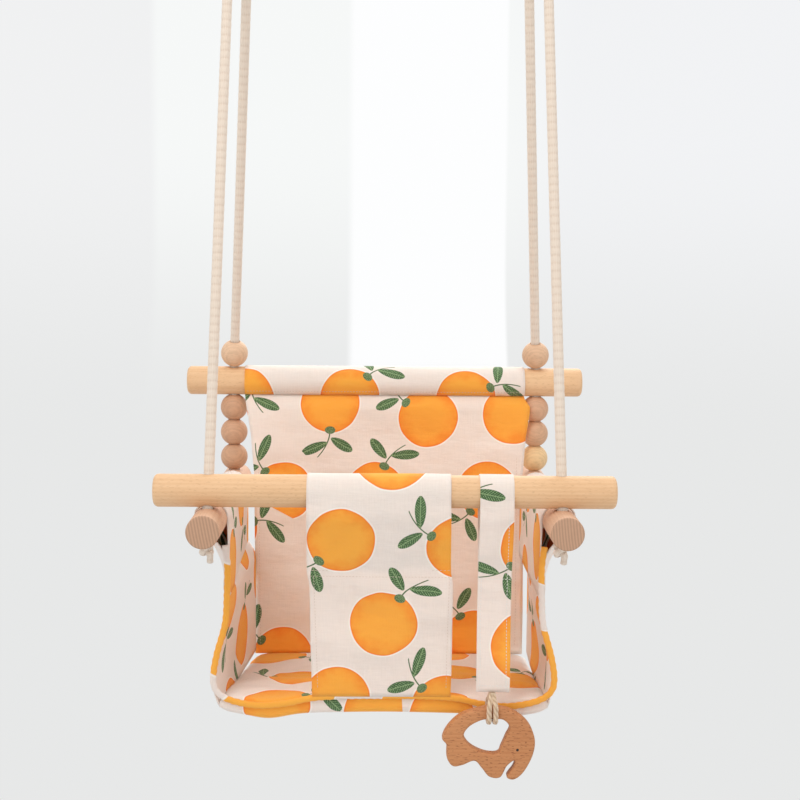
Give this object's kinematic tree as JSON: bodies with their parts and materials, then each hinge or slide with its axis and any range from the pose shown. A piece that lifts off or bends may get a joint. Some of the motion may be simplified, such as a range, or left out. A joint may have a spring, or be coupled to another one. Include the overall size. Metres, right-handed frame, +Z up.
{
  "type": "toddler bucket swing",
  "caption": "Indoor toddler swing: a cloth bucket seat on wooden bars, hung by braided ropes with wooden beads, with a wooden teether on a strap.",
  "frame": {"origin": "on the swinging axis, midway between the two D-rings that the swing hangs from", "axes": "+X to the child's left, -Y to the front, +Z up"},
  "size_m": [0.42, 0.336, 0.8565],
  "materials": {
    "wood_bars": "fine-sanded beech, clear matt oil",
    "wood_beads": "turned pine, sanded",
    "cotton_rope": "braided natural cotton",
    "canvas": "printed cotton canvas, citrus pattern",
    "binding": "bias binding in printed canvas",
    "steel": "zinc-plated wire",
    "teether_wood": "flecked beech, edges rounded"
  },
  "bodies": {
    "hanger": {"d_ring_left": "steel", "d_ring_right": "steel"},
    "front_bar": {"front_bar": "wood_bars", "crotch_sleeve": "canvas"},
    "strap": {"strap_loop": "canvas", "strap_tail": "canvas"},
    "cord": {"teether_cord": "cotton_rope"},
    "teether": {"teether": "teether_wood"},
    "bead_left_1": {"bead_left_1": "wood_beads"},
    "bead_left_2": {"bead_left_2": "wood_beads"},
    "bead_left_3": {"bead_left_3": "wood_beads"},
    "bead_left_top": {"bead_left_top": "wood_beads"},
    "bead_right_1": {"bead_right_1": "wood_beads"},
    "bead_right_2": {"bead_right_2": "wood_beads"},
    "bead_right_3": {"bead_right_3": "wood_beads"},
    "bead_right_top": {"bead_right_top": "wood_beads"},
    "seat": {"rope_front_left": "cotton_rope", "eye_front_left": "cotton_rope", "whipping_front_left": "cotton_rope", "knot_front_left": "cotton_rope", "rope_front_right": "cotton_rope", "eye_front_right": "cotton_rope", "whipping_front_right": "cotton_rope", "knot_front_right": "cotton_rope", "rope_rear_left": "cotton_rope", "eye_rear_left": "cotton_rope", "whipping_rear_left": "cotton_rope", "knot_rear_left": "cotton_rope", "rope_rear_right": "cotton_rope", "eye_rear_right": "cotton_rope", "whipping_rear_right": "cotton_rope", "knot_rear_right": "cotton_rope", "rear_bar": "wood_bars", "side_bar_left": "wood_bars", "side_bar_right": "wood_bars", "side_sleeve_left": "canvas", "side_sleeve_right": "canvas", "side_panel_left": "canvas", "side_panel_right": "canvas", "seat_base": "canvas", "backrest_sleeve": "canvas", "backrest_panel": "canvas", "crotch_panel": "canvas", "front_piping": "binding"}
  },
  "joints": [
    {"name": "swing", "type": "hinge", "parent": "hanger", "child": "seat", "pos_m": [0, 0, 0], "axis": [1, 0, 0], "range_deg": [-30, 30]},
    {"name": "front_bar_lift", "type": "slide", "parent": "seat", "child": "front_bar", "axis": [0, 0.2273, 0.9738], "range_m": [0, 0.012]},
    {"name": "strap_swing", "type": "hinge", "parent": "front_bar", "child": "strap", "pos_m": [0.1006, -0.12833, -0.5497], "axis": [1, 0, 0], "range_deg": [-60, 0]},
    {"name": "cord_swing", "type": "hinge", "parent": "strap", "child": "cord", "pos_m": [0.0995, -0.12833, -0.737], "axis": [1, 0, 0], "range_deg": [-45, 0]},
    {"name": "teether_sway", "type": "hinge", "parent": "cord", "child": "teether", "pos_m": [0.0995, -0.12833, -0.755], "axis": [0, 1, 0], "range_deg": [-20, 20]},
    {"name": "bead_left_1_spin", "type": "hinge", "parent": "seat", "child": "bead_left_1", "pos_m": [-0.161, 0.1181, -0.525], "axis": [0, 0, 1], "continuous": true},
    {"name": "bead_left_2_spin", "type": "hinge", "parent": "seat", "child": "bead_left_2", "pos_m": [-0.161, 0.1181, -0.525], "axis": [0, 0, 1], "continuous": true},
    {"name": "bead_left_3_spin", "type": "hinge", "parent": "seat", "child": "bead_left_3", "pos_m": [-0.161, 0.1181, -0.525], "axis": [0, 0, 1], "continuous": true},
    {"name": "bead_left_top_slide", "type": "slide", "parent": "seat", "child": "bead_left_top", "axis": [0.0586, -0.2508, 0.9663], "range_m": [0, 0.1]},
    {"name": "bead_right_1_spin", "type": "hinge", "parent": "seat", "child": "bead_right_1", "pos_m": [0.161, 0.1181, -0.525], "axis": [0, 0, 1], "continuous": true},
    {"name": "bead_right_2_spin", "type": "hinge", "parent": "seat", "child": "bead_right_2", "pos_m": [0.161, 0.1181, -0.525], "axis": [0, 0, 1], "continuous": true},
    {"name": "bead_right_3_spin", "type": "hinge", "parent": "seat", "child": "bead_right_3", "pos_m": [0.161, 0.1181, -0.525], "axis": [0, 0, 1], "continuous": true},
    {"name": "bead_right_top_slide", "type": "slide", "parent": "seat", "child": "bead_right_top", "axis": [-0.0586, -0.2508, 0.9663], "range_m": [0, 0.1]}
  ]
}
